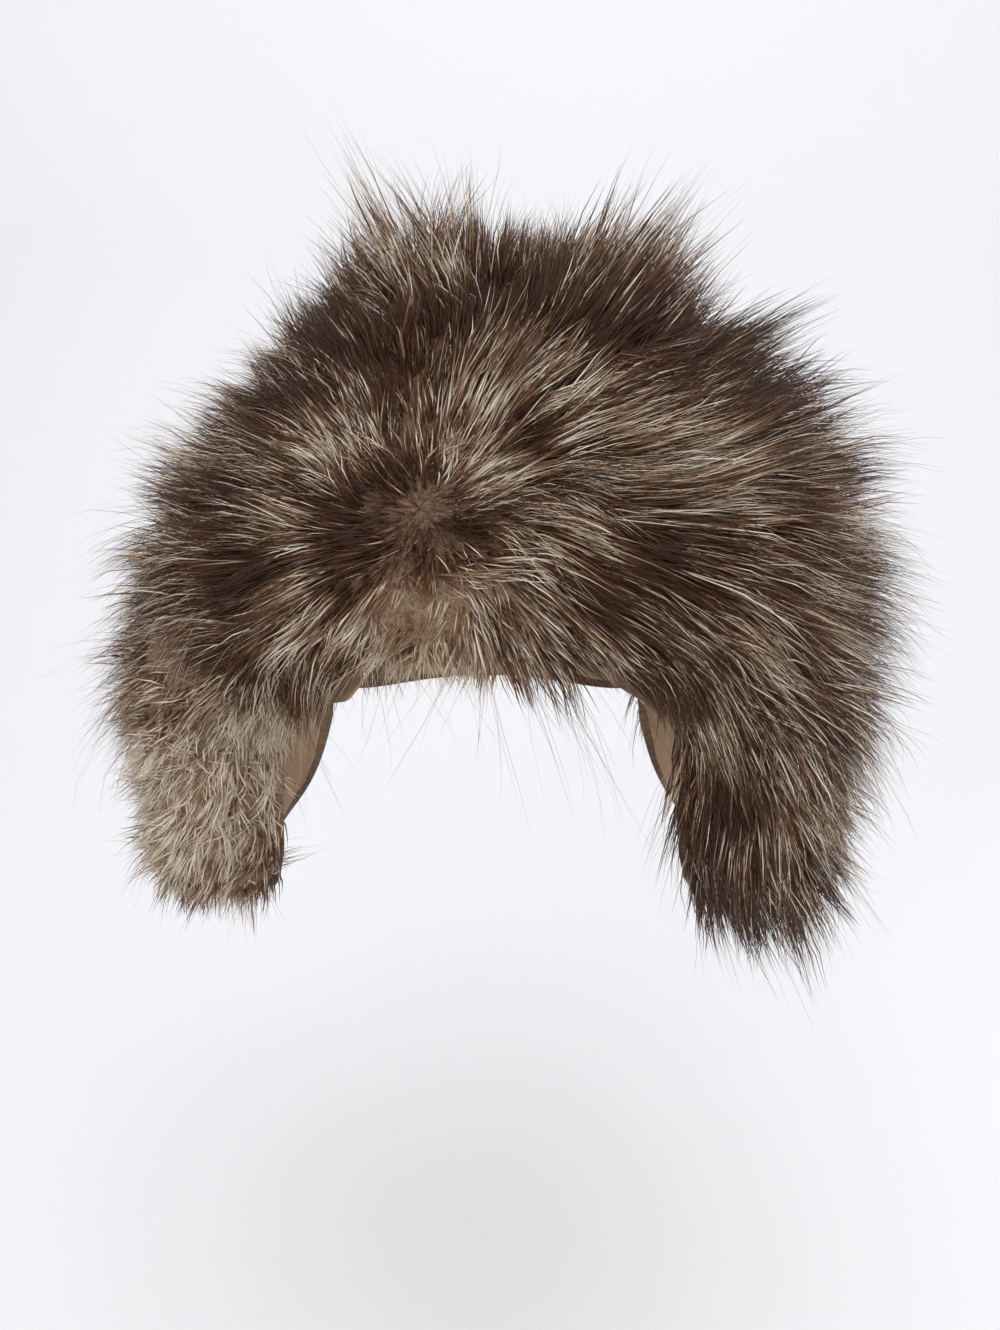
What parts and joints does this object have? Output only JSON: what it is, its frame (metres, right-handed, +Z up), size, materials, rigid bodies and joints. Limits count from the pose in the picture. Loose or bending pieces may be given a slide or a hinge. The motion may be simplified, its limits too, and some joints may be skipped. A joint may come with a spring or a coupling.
{
  "type": "fur hat with ear flaps",
  "caption": "Deep long-haired fur hat with a round crown that arches over the brow, a hanging ear flap on each side and a short nape piece.",
  "frame": {"origin": "inside of the crown at its top, where the hat rests on the head", "axes": "+Z up, front of the hat towards -Y, +X to the wearer's left"},
  "size_m": [0.292, 0.2796, 0.264],
  "materials": {
    "fur": "long brown fur with cream-banded guard hairs and dark tips",
    "pelt_skin": "soft suede side of the pelt"
  },
  "bodies": {
    "root": {"crown_skin": "pelt_skin", "left_flap_skin": "pelt_skin", "right_flap_skin": "pelt_skin", "nape_skin": "pelt_skin", "crown_fur": "fur", "left_flap_fur": "fur", "right_flap_fur": "fur", "nape_fur": "fur"}
  },
  "joints": []
}
